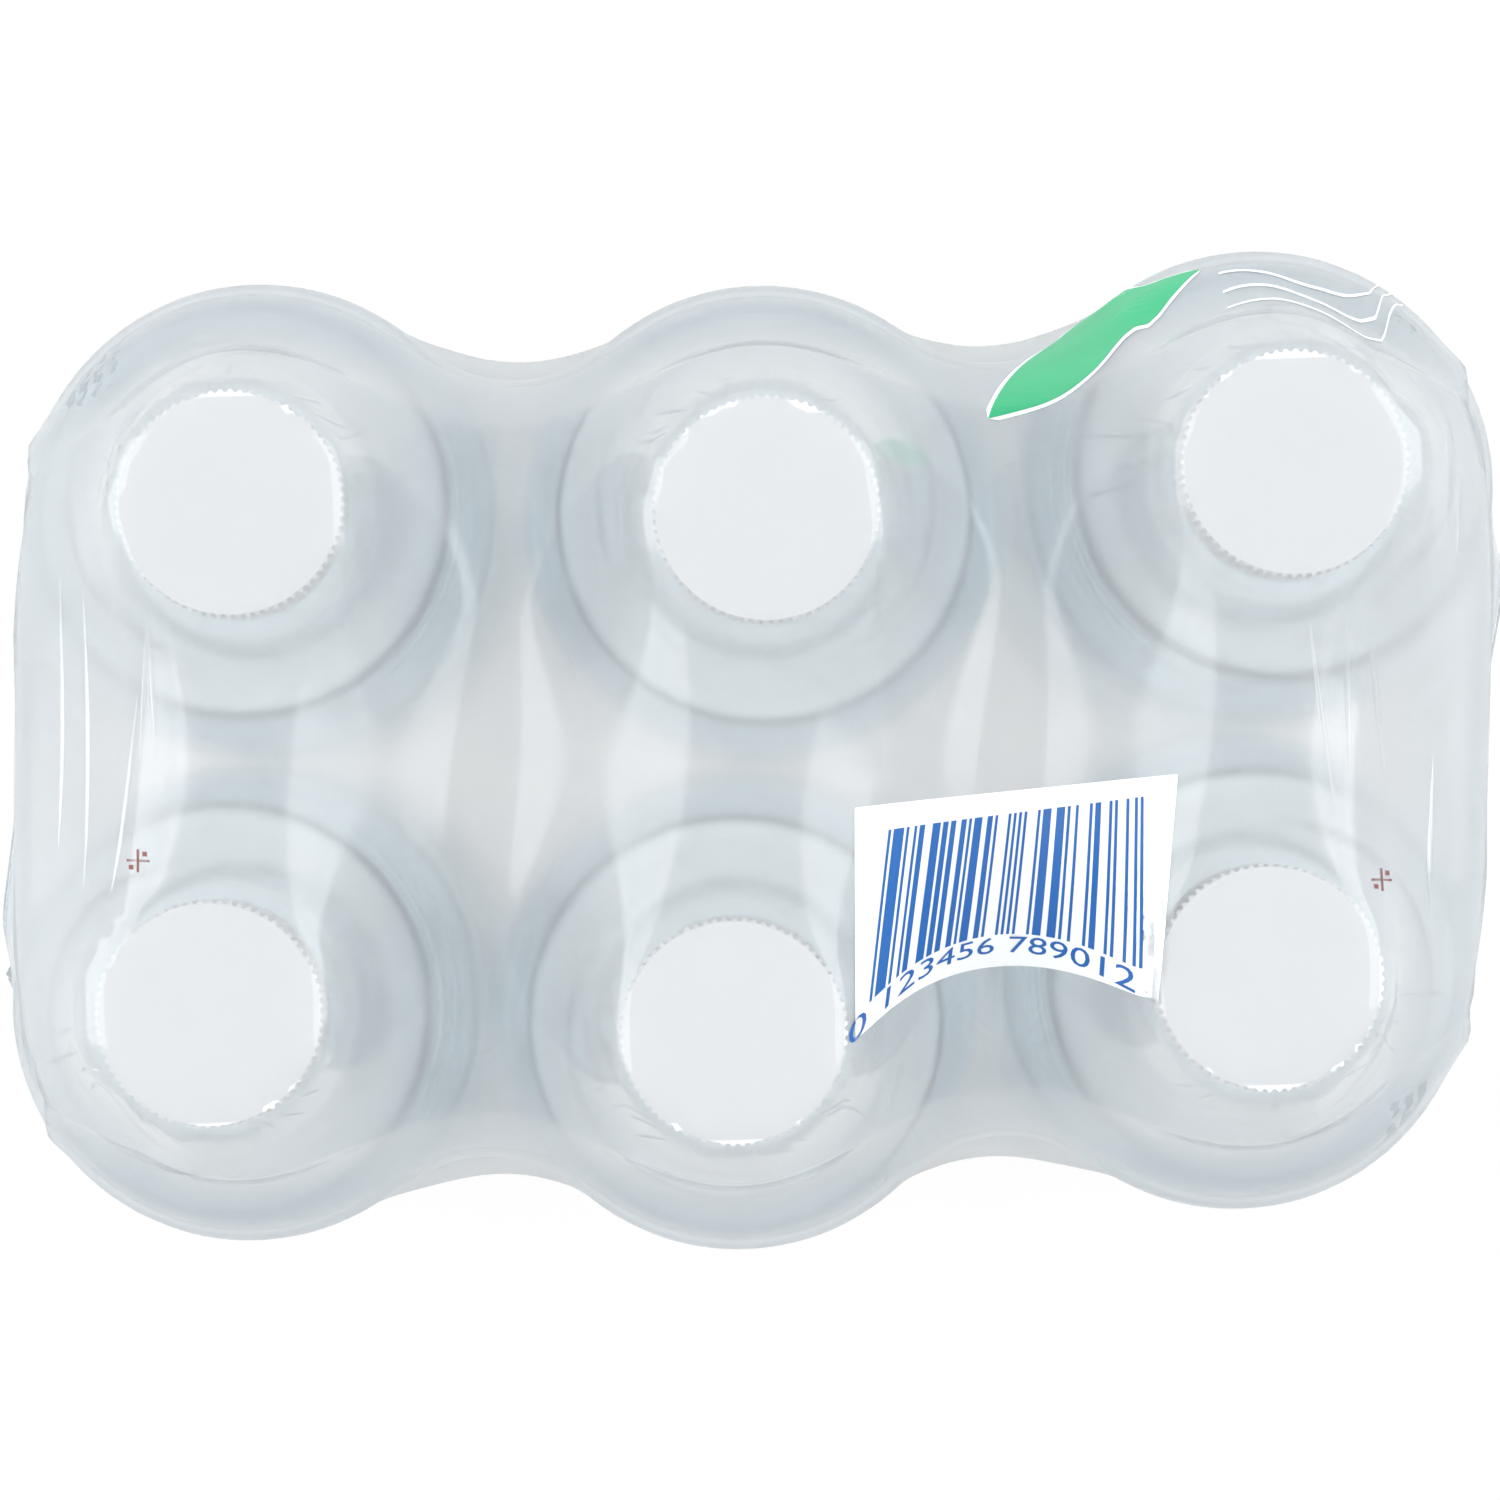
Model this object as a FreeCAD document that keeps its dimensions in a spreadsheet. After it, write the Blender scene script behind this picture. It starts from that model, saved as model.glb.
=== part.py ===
import FreeCAD, Part
import math
import os
import Sketcher

# A six pack of still water: two rows of three 0.5 litre bottles, held together by one
# sleeve of shrink film. X runs along the rows, Y from the front row to the back row, and
# Z up. The origin is the middle of the rectangle that the pack stands on.

Vector = FreeCAD.Vector

doc = FreeCAD.newDocument("SixPack")

# ---------------------------------------------------------------------------
# Driving sizes, in millimetres and degrees. Heights are above the bottle's own foot.
# ---------------------------------------------------------------------------

SIZES = [
    # the blown body
    ("body_radius", 32.4, "lower body, the widest part"),
    ("body_top", 60.0, "top of the lower body"),
    ("panel_recess", 1.2, "depth of the recess that the label lies in"),
    ("grip_recess", 0.8, "how far the grip above the label lies in from the body"),
    ("grip_height", 17.5, "height of the grip"),
    ("step_below", 2.0, "height of the step from the body to the recess"),
    ("step_above", 1.5, "height of the step from the recess to the grip"),
    ("shoulder_recess", 2.2, "how far the shoulder's edge lies in from the body"),
    ("shoulder_drop", 59.5, "from the mouth down to the shoulder's edge"),
    ("edge_height", 6.5, "height of the turn from the grip to the shoulder's edge"),
    ("edge_bend", 14.0, "radius of that turn"),
    ("dome_step", 9.7, "from the shoulder's edge in to the middle of the dome"),
    ("dome_drop", 35.5, "from the mouth down to the middle of the dome"),
    ("dome_bend", 36.0, "radius of the dome's outward curve"),
    ("flare_bend", 30.0, "radius of the curve into the neck"),
    ("heel_inset", 6.4, "from the body in to the outer edge of the standing ring"),
    ("ring_face", 7.0, "width of the standing ring"),
    ("push_up", 7.0, "height of the hollow under the base"),
    ("heel_height", 8.5, "where the heel meets the wall"),
    ("heel_bend", 8.0, "radius of the heel"),
    ("rib_width", 5.0, "opening of each ring groove"),
    ("rib_depth", 1.3, "depth of each ring groove"),
    ("rib_first", 18.0, "height of the lowest ring groove"),
    ("rib_pitch", 14.0, "height from one lower groove to the next"),
    ("grip_rib", 8.5, "height of the grip's groove above the grip's foot"),
    ("wall", 0.4, "thickness of the bottle"),
    # neck and mouth
    ("mouth_height", 203.0, "rim of the mouth"),
    ("mouth_wall", 2.2, "thickness of the mouth"),
    ("neck_wall", 1.6, "thickness of the neck"),
    ("neck_height", 1.6, "height of the neck under the support ring"),
    ("ring_overhang", 1.5, "how far the support ring stands out past the cap"),
    ("ring_drop", 15.6, "from the mouth down to the underside of the support ring"),
    ("ring_height", 1.6, "thickness of the support ring"),
    ("fill_drop", 31.0, "from the mouth down to the water"),
    # screw cap
    ("cap_radius", 14.1, "over the knurls"),
    ("cap_wall", 1.2, "side wall of the cap"),
    ("cap_crown", 1.6, "thickness of the cap's top"),
    ("cap_edge", 0.4, "bevel round the cap's top"),
    ("thread_gap", 0.3, "play between the cap and the mouth"),
    ("band_gap", 0.4, "space between the tamper band and the support ring"),
    ("band_height", 2.8, "height of the tamper band"),
    ("tear_height", 0.4, "height of the tear line"),
    ("tear_depth", 0.5, "depth of the tear line"),
    ("knurl_radius", 0.38, "radius of each knurl groove"),
    ("knurl_count", 72, "knurl grooves round the cap"),
    # label
    ("label_wall", 0.2, "thickness of the wrapped label"),
    ("label_margin", 1.0, "bare strip above and below the label"),
    # layout of the pack
    ("side_gap", 1.6, "space between neighbours in a row"),
    ("row_gap", 1.4, "space between the two rows"),
    ("row_slip", 4.4, "how far the back row has slid along the front row"),
    # shrink film
    ("film_wall", 0.3, "thickness of the film"),
    ("film_gap", 0.5, "space between the film and the bottles"),
    ("film_cap_gap", 3.6, "space between the film and the edge of a cap"),
    ("film_top_gap", 0.5, "space between the film and the top of a cap"),
    ("film_heel_gap", 2.6, "space between the film and the middle of the heel"),
    ("film_foot_gap", 0.2, "space between the film and the standing ring"),
    ("film_pull", 12.0, "pull round the pack, for a pull of 1 along it"),
    ("film_turn", 14.1, "from the end bottles out to where the film starts to turn"),
    ("film_round_step", 4.67, "spacing of the film's points round the pack"),
    ("film_along_step", 3.5, "spacing of the film's loops along the pack"),
    ("film_end_step", 2.9, "spacing of the film's loops over each end"),
    ("eye_width", 56.0, "width of the opening that the film leaves in each short end"),
    ("eye_height", 74.0, "height of that opening"),
]

# Sizes that follow from those.
FOLLOWING = {
    "panel_radius": "body_radius - panel_recess",
    "grip_radius": "body_radius - grip_recess",
    "shoulder_radius": "body_radius - shoulder_recess",
    "dome_radius": "shoulder_radius - dome_step",
    "foot_radius": "body_radius - heel_inset",
    "foot_bore": "foot_radius - ring_face",
    "panel_foot": "body_top + step_below",
    "panel_top": "grip_foot - step_above",
    "grip_foot": "grip_top - grip_height",
    "grip_top": "shoulder_height - edge_height",
    "shoulder_height": "mouth_height - shoulder_drop",
    "dome_height": "mouth_height - dome_drop",
    "neck_foot": "ring_foot - neck_height",
    "ring_foot": "mouth_height - ring_drop",
    "ring_top": "ring_foot + ring_height",
    "fill_height": "mouth_height - fill_drop",
    "cap_bore": "cap_radius - cap_wall",
    "cap_top": "mouth_height + cap_crown",
    "mouth_radius": "cap_bore - thread_gap",
    "mouth_bore": "mouth_radius - mouth_wall",
    "neck_radius": "mouth_bore + neck_wall",
    "support_radius": "cap_radius + ring_overhang",
    "stand_height": "film_wall + film_foot_gap",
}

# Each bottle stands a little off its place and leans as the film pulled it: how far the
# foot is off along X and Y, and how far the cap is off the foot along X and Y.
STANCES = [
    (-2.2, 0.9, 2.6, 0.0),
    (-0.7, -0.7, 1.0, -1.5),
    (-0.2, -0.9, -0.4, 2.0),
    (0.2, 0.9, -0.2, 3.2),
    (-0.6, -0.7, -1.1, 0.2),
    (-1.4, -0.3, -0.2, 4.1),
]
STANCE_WORDS = ("off_x_", "off_y_", "lean_x_", "lean_y_")
BOTTLES = "abcdef"  # the back row from left to right, then the front row

for letter, numbers in zip(BOTTLES, STANCES):
    for word, number in zip(STANCE_WORDS, numbers):
        SIZES.append((word + letter, number, "stance of bottle " + letter))

sheet = doc.addObject("Spreadsheet::Sheet", "sizes")
for line, (alias, number, note) in enumerate(SIZES, 1):
    sheet.set("A%d" % line, alias)
    sheet.set("B%d" % line, str(number))
    sheet.set("C%d" % line, note)
    sheet.setAlias("B%d" % line, alias)
doc.recompute()


def sized(text):
    """An expression of spaced words, with the sheet's name before each of its sizes."""
    words = []
    for word in text.split():
        if word in FOLLOWING:
            words.append("( " + sized(FOLLOWING[word]) + " )")
        elif word[0].isalpha():
            words.append("sizes." + word)
        else:
            words.append(word)
    return " ".join(words)


def amount(text):
    """The value of an expression of sizes."""
    return float(sheet.evalExpression(sized(text)))


# ---------------------------------------------------------------------------
# Half sections, drawn in the plane of X and Z and turned about Z
# ---------------------------------------------------------------------------

def origin_part(body, role):
    """The plane or axis of a body's origin that has this role."""
    return [part for part in body.Origin.OriginFeatures if part.Role == role][0]


def arc_between(start, end, bend):
    """The arc of radius bend from start to end. It bulges to the right of the way from
    start to end, or to the left where bend is negative."""
    along = end - start
    left = Vector(-along.y, along.x, 0).normalize()
    rise = math.sqrt(bend * bend - along.Length ** 2 / 4)
    centre = (start + end) * 0.5 + left * math.copysign(rise, bend)
    circle = Part.Circle(centre, Vector(0, 0, 1), abs(bend))
    angles = [math.atan2(spot.y - centre.y, spot.x - centre.x) for spot in (start, end)]
    if bend < 0:
        angles.reverse()
    return Part.ArcOfCircle(circle, angles[0], angles[1])


def half_section(body, name, corners):
    """A closed outline. Each corner is (out, up), or (out, up, bend, side) where an arc
    of that radius leads to it, on side 1 or -1 as arc_between says."""
    sketch = body.newObject("Sketcher::SketchObject", name)
    sketch.AttachmentSupport = (origin_part(body, "XZ_Plane"), [""])
    sketch.MapMode = "FlatFace"
    spots = [Vector(amount(corner[0]), amount(corner[1]), 0) for corner in corners]
    ends = []  # the vertex that each piece starts at and the one that it ends at
    for number, corner in enumerate(corners):
        start, end = spots[number - 1], spots[number]
        if len(corner) == 2:
            sketch.addGeometry(Part.LineSegment(start, end))
            ends.append((1, 2))
        else:
            side = corner[3]
            sketch.addGeometry(arc_between(start, end, side * amount(corner[2])))
            ends.append((1, 2) if side > 0 else (2, 1))
    for number, corner in enumerate(corners):
        last = ends[number][1]
        after = (number + 1) % len(corners)
        sketch.addConstraint(
            Sketcher.Constraint("Coincident", number, last, after, ends[after][0]))
        bonds = [("DistanceX", corner[0]), ("DistanceY", corner[1])]
        for kind, text in bonds:
            bond = sketch.addConstraint(
                Sketcher.Constraint(kind, -1, 1, number, last, amount(text)))
            sketch.setExpression("Constraints[%d]" % bond, sized(text))
        if len(corner) == 4:
            bond = sketch.addConstraint(
                Sketcher.Constraint("Radius", number, amount(corner[2])))
            sketch.setExpression("Constraints[%d]" % bond, sized(corner[2]))
    return sketch


def turned(body, kind, name, corners):
    """Turn a half section once round: a Revolution adds it, a Groove cuts it away."""
    feature = body.newObject("PartDesign::" + kind, name)
    feature.Profile = half_section(body, name + "_section", corners)
    feature.ReferenceAxis = (feature.Profile[0], ["V_Axis"])
    feature.Angle = 360
    return feature


def ring_groove(radius, height):
    """The two corners of a ring groove in a wall, from its lower lip to its upper lip."""
    bend = "( rib_width ^ 2 / 4 + rib_depth ^ 2 ) / ( 2 * rib_depth )"
    return [
        (radius, height + " - rib_width / 2"),
        (radius, height + " + rib_width / 2", bend, -1),
    ]


def body_corners(inset):
    """The bottle's outline from the middle of its base to the shoulder, moved towards
    the axis by inset and lifted by it over the base."""
    lower = "body_radius - " + inset
    panel = "panel_radius - " + inset
    grip = "grip_radius - " + inset
    corners = [
        ("0", "push_up + " + inset),
        ("foot_bore", inset, "( foot_bore ^ 2 + push_up ^ 2 ) / ( 2 * push_up )", -1),
        ("foot_radius", inset),
        (lower, "heel_height", "heel_bend", 1),
    ]
    for rib in range(3):
        corners += ring_groove(lower, "rib_first + %d * rib_pitch" % rib)
    corners += [
        (lower, "body_top"),
        (panel, "panel_foot"),
        (panel, "panel_top"),
        (grip, "grip_foot"),
    ]
    corners += ring_groove(grip, "grip_foot + grip_rib")
    corners += [
        (grip, "grip_top"),
        ("shoulder_radius - " + inset, "shoulder_height", "edge_bend", 1),
        ("dome_radius - " + inset, "dome_height", "dome_bend", 1),
    ]
    return corners


def cavity_corners():
    """The inside of the bottle, up through its mouth."""
    return body_corners("wall") + [
        ("mouth_bore", "neck_foot", "flare_bend", -1),
        ("mouth_bore", "mouth_height"),
        ("0", "mouth_height"),
    ]


# ---------------------------------------------------------------------------
# One bottle's pieces, each standing on the origin
# ---------------------------------------------------------------------------

def make_bottle():
    """The blown bottle with its ribs, label recess, neck and support ring."""
    body = doc.addObject("PartDesign::Body", "bottle")
    turned(body, "Revolution", "outside", body_corners("0") + [
        ("neck_radius", "neck_foot", "flare_bend", -1),
        ("neck_radius", "ring_foot"),
        ("support_radius", "ring_foot"),
        ("support_radius", "ring_top"),
        ("mouth_radius", "ring_top"),
        ("mouth_radius", "mouth_height"),
        ("0", "mouth_height"),
    ])
    doc.recompute()
    turned(body, "Groove", "inside", cavity_corners())
    return body


def make_water():
    """The water, which fills the bottle up to its level."""
    body = doc.addObject("PartDesign::Body", "water")
    turned(body, "Revolution", "filling", cavity_corners())
    doc.recompute()
    turned(body, "Groove", "air", [
        ("0", "fill_height"),
        ("body_radius", "fill_height"),
        ("body_radius", "cap_top"),
        ("0", "cap_top"),
    ])
    return body


def make_label():
    """The label, wrapped once round the recess."""
    body = doc.addObject("PartDesign::Body", "label")
    turned(body, "Revolution", "wrap", [
        ("panel_radius", "panel_foot + label_margin"),
        ("panel_radius + label_wall", "panel_foot + label_margin"),
        ("panel_radius + label_wall", "panel_top - label_margin"),
        ("panel_radius", "panel_top - label_margin"),
    ])
    return body


def make_cap():
    """The screw cap and its tamper band, with knurls above the tear line."""
    band_foot = "ring_top + band_gap"
    tear_foot = band_foot + " + band_height"
    tear_top = tear_foot + " + tear_height"
    body = doc.addObject("PartDesign::Body", "cap")
    turned(body, "Revolution", "cup", [
        ("0", "mouth_height"),
        ("cap_bore", "mouth_height"),
        ("cap_bore", band_foot),
        ("cap_radius", band_foot),
        ("cap_radius", tear_foot),
        ("cap_radius - tear_depth", tear_foot),
        ("cap_radius - tear_depth", tear_top),
        ("cap_radius", tear_top),
        ("cap_radius", "cap_top - cap_edge"),
        ("cap_radius - cap_edge", "cap_top"),
        ("0", "cap_top"),
    ])
    doc.recompute()
    sketch = body.newObject("Sketcher::SketchObject", "knurl_section")
    sketch.AttachmentSupport = (origin_part(body, "XY_Plane"), [""])
    sketch.MapMode = "FlatFace"
    sketch.setExpression("AttachmentOffset.Base.z", sized(tear_top))
    spot = Vector(amount("cap_radius"), 0, 0)
    sketch.addGeometry(Part.Circle(spot, Vector(0, 0, 1), amount("knurl_radius")))
    sketch.addConstraint(Sketcher.Constraint("PointOnObject", 0, 3, -1))
    bond = sketch.addConstraint(
        Sketcher.Constraint("DistanceX", -1, 1, 0, 3, amount("cap_radius")))
    sketch.setExpression("Constraints[%d]" % bond, sized("cap_radius"))
    bond = sketch.addConstraint(Sketcher.Constraint("Radius", 0, amount("knurl_radius")))
    sketch.setExpression("Constraints[%d]" % bond, sized("knurl_radius"))
    groove = body.newObject("PartDesign::Pocket", "knurl")
    groove.Profile = sketch
    groove.Reversed = True
    groove.setExpression("Length", sized("cap_top - ( " + tear_top + " )"))
    doc.recompute()
    knurls = body.newObject("PartDesign::PolarPattern", "knurls")
    knurls.Originals = [groove]
    knurls.Axis = (origin_part(body, "Z_Axis"), [""])
    knurls.Angle = 360
    knurls.setExpression("Occurrences", sized("knurl_count"))
    body.Tip = knurls
    return body


MASTERS = {
    "bottle": make_bottle(),
    "water": make_water(),
    "label": make_label(),
    "cap": make_cap(),
}
doc.recompute()

# ---------------------------------------------------------------------------
# Six of each, placed and leaning
# ---------------------------------------------------------------------------

def standing(number):
    """The placement of bottle number 0 to 5, as an expression. The foot's ring stays on
    the film, so a bottle that leans is lifted by what its lower edge would sink."""
    letter = BOTTLES[number]
    column = number % 3 - 1
    back = 1 if number < 3 else -1
    across = "( 2 * body_radius + side_gap ) * %d" % column
    across += " + row_slip / 2 * %d + off_x_%s" % (back, letter)
    along = "( body_radius + row_gap / 2 ) * %d + off_y_%s" % (back, letter)
    lean = "( lean_x_%s ^ 2 + lean_y_%s ^ 2 ) ^ 0.5" % (letter, letter)
    lift = "stand_height + foot_radius * %s / cap_top" % lean
    axis = "vector( -1 * sizes.lean_y_%s ; sizes.lean_x_%s ; 0 )" % (letter, letter)
    spot = "vector( %s ; %s ; %s )" % (sized(across), sized(along), sized(lift))
    angle = "asin( %s )" % sized("( %s ) / cap_top" % lean)
    return "placement( %s ; rotation( %s ; %s ) )" % (spot, axis, angle)


sub_parts = []
for number in range(len(STANCES)):
    for kind, master in MASTERS.items():
        piece = doc.addObject("App::Link", "%s_%d" % (kind, number + 1))
        piece.LinkedObject = master
        piece.Label = "%s_%d" % (kind, number + 1)
        piece.setExpression("Placement", standing(number))
        sub_parts.append(piece)
doc.recompute()

# ---------------------------------------------------------------------------
# The shrink film. It was slipped over the pack as a sleeve along X and shrunk in an
# oven, so it spans the gaps tightly and leaves a round opening in each short end.
# ---------------------------------------------------------------------------

# Half the pack's sizes, and where the film starts to turn round the ends.
HALF_WIDTH = amount("2 * body_radius + row_gap / 2")
HALF_HEIGHT = amount("( stand_height + cap_top ) / 2")
HALF_LENGTH = amount("3 * body_radius + side_gap + row_slip / 2")
TURN_X = amount("2 * body_radius + side_gap + film_turn")

# Points on one loop round the pack, spaces between loops on each side of the middle, and
# more loops that turn round each end.
LOOP = round(4 * (HALF_WIDTH + HALF_HEIGHT) / amount("film_round_step"))
STRAIGHT = round(TURN_X / amount("film_along_step"))
END_RUN = HALF_LENGTH - TURN_X + HALF_WIDTH - amount("eye_width / 2")
FAN = round(END_RUN / amount("film_end_step"))

ROUNDS = 200    # passes that let the film settle
HASTE = 1.7     # how far a pass moves a point, for 1 to the mean of its neighbours
DEGREE = 2      # of the film's smooth faces
ARC_POINTS = 6  # points that follow each round stretch of a bottle's outline


def bottle_outline():
    """The outside of a labelled and capped bottle as (height, radius) pairs, from its
    foot up, moved out by the film's gaps. The film bridges every groove and the heel."""
    gap = amount("film_gap + label_wall")
    foot = -amount("film_foot_gap")
    pairs = [
        (foot, amount("foot_radius + film_heel_gap")),
        (amount("heel_height / 4"), amount("( foot_radius + 3 * body_radius ) / 4 + film_heel_gap")),
        (amount("heel_height"), amount("body_radius") + gap),
    ]
    spot = None
    for corner in body_corners("0")[4:]:
        end = Vector(amount(corner[1]), amount(corner[0]), 0)
        if len(corner) == 4 and corner[3] > 0:
            arc = arc_between(end, spot, amount(corner[2])).toShape()
            points = reversed(arc.discretize(ARC_POINTS)[:-1])
            pairs += [(point.x, point.y + gap) for point in points]
        else:
            pairs.append((end.x, end.y + gap))
        spot = end
    cap_radius = amount("cap_radius + film_cap_gap")
    pairs.append((amount("ring_foot"), amount("support_radius")))
    pairs.append((amount("ring_top"), cap_radius))
    pairs.append((amount("cap_top + film_top_gap"), cap_radius))
    return pairs


def way_out(start, way, outline):
    """How far a ray from start runs until it leaves the turned outline for good. Start
    and way are in the bottle's own frame; 0 where the ray misses it."""
    furthest = 0.0
    for (low, low_radius), (high, high_radius) in zip(outline, outline[1:]):
        slope = (high_radius - low_radius) / (high - low) if high > low else 0.0
        reach = low_radius + slope * (start.z - low)
        rate = slope * way.z
        a = way.x ** 2 + way.y ** 2 - rate ** 2
        b = start.x * way.x + start.y * way.y - reach * rate
        c = start.x ** 2 + start.y ** 2 - reach ** 2
        under = b * b - a * c
        if high == low or under < 0 or abs(a) < 1e-12:
            continue
        for sign in (-1, 1):
            distance = (-b + sign * math.sqrt(under)) / a
            if low <= start.z + distance * way.z <= high:
                furthest = max(furthest, distance)
    for height, radius in (outline[0], outline[-1]):
        if abs(way.z) < 1e-12:
            continue
        distance = (height - start.z) / way.z
        spot = start + way * distance
        if spot.x ** 2 + spot.y ** 2 <= radius ** 2:
            furthest = max(furthest, distance)
    return furthest


def loop_targets():
    """Points evenly spaced along the outline of the pack's short end, from the middle of
    the underside and round to it again, seen from the middle of the end."""
    corners = [(0, -1), (1, -1), (1, 1), (-1, 1), (-1, -1), (0, -1)]
    corners = [Vector(0, y * HALF_WIDTH, z * HALF_HEIGHT) for y, z in corners]
    outline = Part.makePolygon(corners)
    return outline.discretize(LOOP + 1)[:-1]


def film_rays():
    """The rays that the film's points slide on: for each loop round the pack, from the
    left opening to the right, a start and a direction for each of its points. The loops
    are square to X as far as the end bottles' axes and then fan out round the ends, evenly
    spaced over the edge of the pack and on to the rim of the opening."""
    eye = Vector(amount("eye_width / 2"), amount("eye_height / 2"), 0)
    middle = Vector(0, 0, HALF_HEIGHT)
    targets = loop_targets()
    threads = []
    for step in range(-FAN - STRAIGHT, FAN + STRAIGHT + 1):
        fan_share = max(abs(step) - STRAIGHT, 0) / FAN
        side = math.copysign(1, step)
        start_x = side * TURN_X * min(abs(step) / STRAIGHT, 1)
        start = middle + Vector(start_x, 0, 0)
        thread = []
        for target in targets:
            rim = target * (1 / math.hypot(target.y / eye.x, target.z / eye.y))
            run = (HALF_LENGTH - TURN_X + (target - rim).Length) * fan_share
            over = min(run, HALF_LENGTH - TURN_X)
            inwards = (rim - target).normalize() * (run - over)
            thread.append((start, (target + inwards + Vector(side * over, 0, 0)).normalize()))
        threads.append(thread)
    return threads


def resting_reach(rays):
    """How far out along its ray each point of the film lies when it rests on a bottle."""
    outline = bottle_outline()
    wall = amount("film_wall")
    frames = [piece.Placement.inverse() for piece in sub_parts if "bottle" in piece.Label]
    return [[max(way_out(frame.multVec(start), frame.Rotation.multVec(way), outline)
                 for frame in frames) + wall
             for start, way in thread] for thread in rays]


def spots_on(rays, reach):
    """The points that lie this far out along their rays."""
    return [[start + way * out for (start, way), out in zip(thread, row)]
            for thread, row in zip(rays, reach)]


def box_reach(rays, spots):
    """How far each ray runs inside the upright box round the spots."""
    everything = [spot for row in spots for spot in row]
    low = [min(spot[axis] for spot in everything) for axis in range(3)]
    high = [max(spot[axis] for spot in everything) for axis in range(3)]

    def way_to_wall(start, way):
        return min(((high if way[axis] > 0 else low)[axis] - start[axis]) / way[axis]
                   for axis in range(3) if abs(way[axis]) > 1e-9)

    return [[way_to_wall(start, way) for start, way in thread] for thread in rays]


def settle(rays):
    """The film's points when it has shrunk. It starts as a box round the bottles. Each
    point slides along its ray to the mean of its neighbours, which pull harder round the
    pack than along it, until the film lies on a bottle there or hangs free."""
    pull = amount("film_pull")
    nearest = resting_reach(rays)
    furthest = box_reach(rays, spots_on(rays, nearest))
    reach = [list(row) for row in furthest]
    spots = spots_on(rays, reach)
    last = len(rays) - 1
    for turn in range(ROUNDS):
        for column, thread in enumerate(rays):
            row = spots[column]
            for place, (start, way) in enumerate(thread):
                total = (row[place - 1] + row[(place + 1) % LOOP]) * pull
                weight = 2 * pull
                for beside in (column - 1, column + 1):
                    if 0 <= beside <= last:
                        total += spots[beside][place]
                        weight += 1
                wish = (total * (1 / weight) - start).dot(way)
                out = reach[column][place]
                out += HASTE * (wish - out)
                out = min(max(out, nearest[column][place]), furthest[column][place])
                reach[column][place] = out
                row[place] = start + way * out
    return spots


def inside_of(spots, wall):
    """The film's inner points: each outer point moved in by the wall."""
    inner = []
    last = len(spots) - 1
    for column, row in enumerate(spots):
        along_before = spots[max(column - 1, 0)]
        along_after = spots[min(column + 1, last)]
        points = []
        for place, spot in enumerate(row):
            along = along_after[place] - along_before[place]
            around = row[(place + 1) % LOOP] - row[place - 1]
            points.append(spot + along.cross(around).normalize() * wall)
        inner.append(points)
    return inner


def skin(spots):
    """A smooth face that follows the film's points, closed round the pack."""
    spans = len(spots) - DEGREE
    knots_along = list(range(spans + 1))
    times_along = [DEGREE + 1] + [1] * (spans - 1) + [DEGREE + 1]
    knots_round = list(range(LOOP + 1))
    times_round = [1] * (LOOP + 1)
    surface = Part.BSplineSurface()
    surface.buildFromPolesMultsKnots(
        spots, times_along, times_round, knots_along, knots_round,
        False, True, DEGREE, DEGREE)
    return surface.toShape()


def rims(face):
    """A skin's two closed edges, left and right."""
    closed = [edge for edge in face.Edges if edge.isClosed()]
    return sorted(closed, key=lambda edge: edge.CenterOfMass.x)


def make_film():
    """The film as one solid: an outer skin, an inner skin and a rim at each opening."""
    spots = settle(film_rays())
    skins = [skin(spots), skin(inside_of(spots, amount("film_wall")))]
    edges = [Part.makeRuledSurface(outer, inner)
             for outer, inner in zip(rims(skins[0]), rims(skins[1]))]
    shell = Part.makeShell(skins + edges)
    shell.sewShape()
    return Part.makeSolid(shell.Shells[0])


film = doc.addObject("Part::Feature", "film_wrap")
film.Label = "film_wrap"
film.Shape = make_film()
film.Placement = FreeCAD.Placement()
sub_parts.append(film)
doc.recompute()

# ---------------------------------------------------------------------------
# Test everything, then write one file for each piece
# ---------------------------------------------------------------------------

for thing in doc.Objects:
    if "Invalid" in thing.State or "Error" in thing.State:
        raise RuntimeError(thing.Name + " did not build")

for piece in sub_parts:
    if piece.Shape.isNull() or not piece.Shape.isValid():
        raise RuntimeError(piece.Label + " has no sound shape")

os.makedirs("parts", exist_ok=True)
for piece in sub_parts:
    piece.Shape.exportStep("parts/%s.step" % piece.Label)
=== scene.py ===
import math
import random

import bpy
import numpy as np
from mathutils import Matrix, Vector
from mathutils.bvhtree import BVHTree


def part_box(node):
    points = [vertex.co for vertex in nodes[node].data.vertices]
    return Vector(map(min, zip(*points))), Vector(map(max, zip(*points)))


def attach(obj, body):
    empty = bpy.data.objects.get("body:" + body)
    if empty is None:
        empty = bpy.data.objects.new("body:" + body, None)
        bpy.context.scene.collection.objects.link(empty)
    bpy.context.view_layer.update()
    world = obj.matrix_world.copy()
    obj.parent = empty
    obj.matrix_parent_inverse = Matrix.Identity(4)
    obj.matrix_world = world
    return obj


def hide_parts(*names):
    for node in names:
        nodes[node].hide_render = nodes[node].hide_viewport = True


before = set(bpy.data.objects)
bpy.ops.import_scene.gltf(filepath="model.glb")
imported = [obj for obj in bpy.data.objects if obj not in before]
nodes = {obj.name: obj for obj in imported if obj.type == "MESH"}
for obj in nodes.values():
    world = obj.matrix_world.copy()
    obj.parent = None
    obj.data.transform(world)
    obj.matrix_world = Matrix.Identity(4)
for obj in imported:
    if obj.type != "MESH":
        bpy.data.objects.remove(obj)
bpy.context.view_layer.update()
scene = bpy.context.scene
scene.view_settings.view_transform = "Standard"

# ---------------------------------------------------------------------------
# The table, the light and the camera. The pack stands on a plain white table in
# soft, even studio light, and the camera looks straight down on its caps.
# ---------------------------------------------------------------------------

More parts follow.
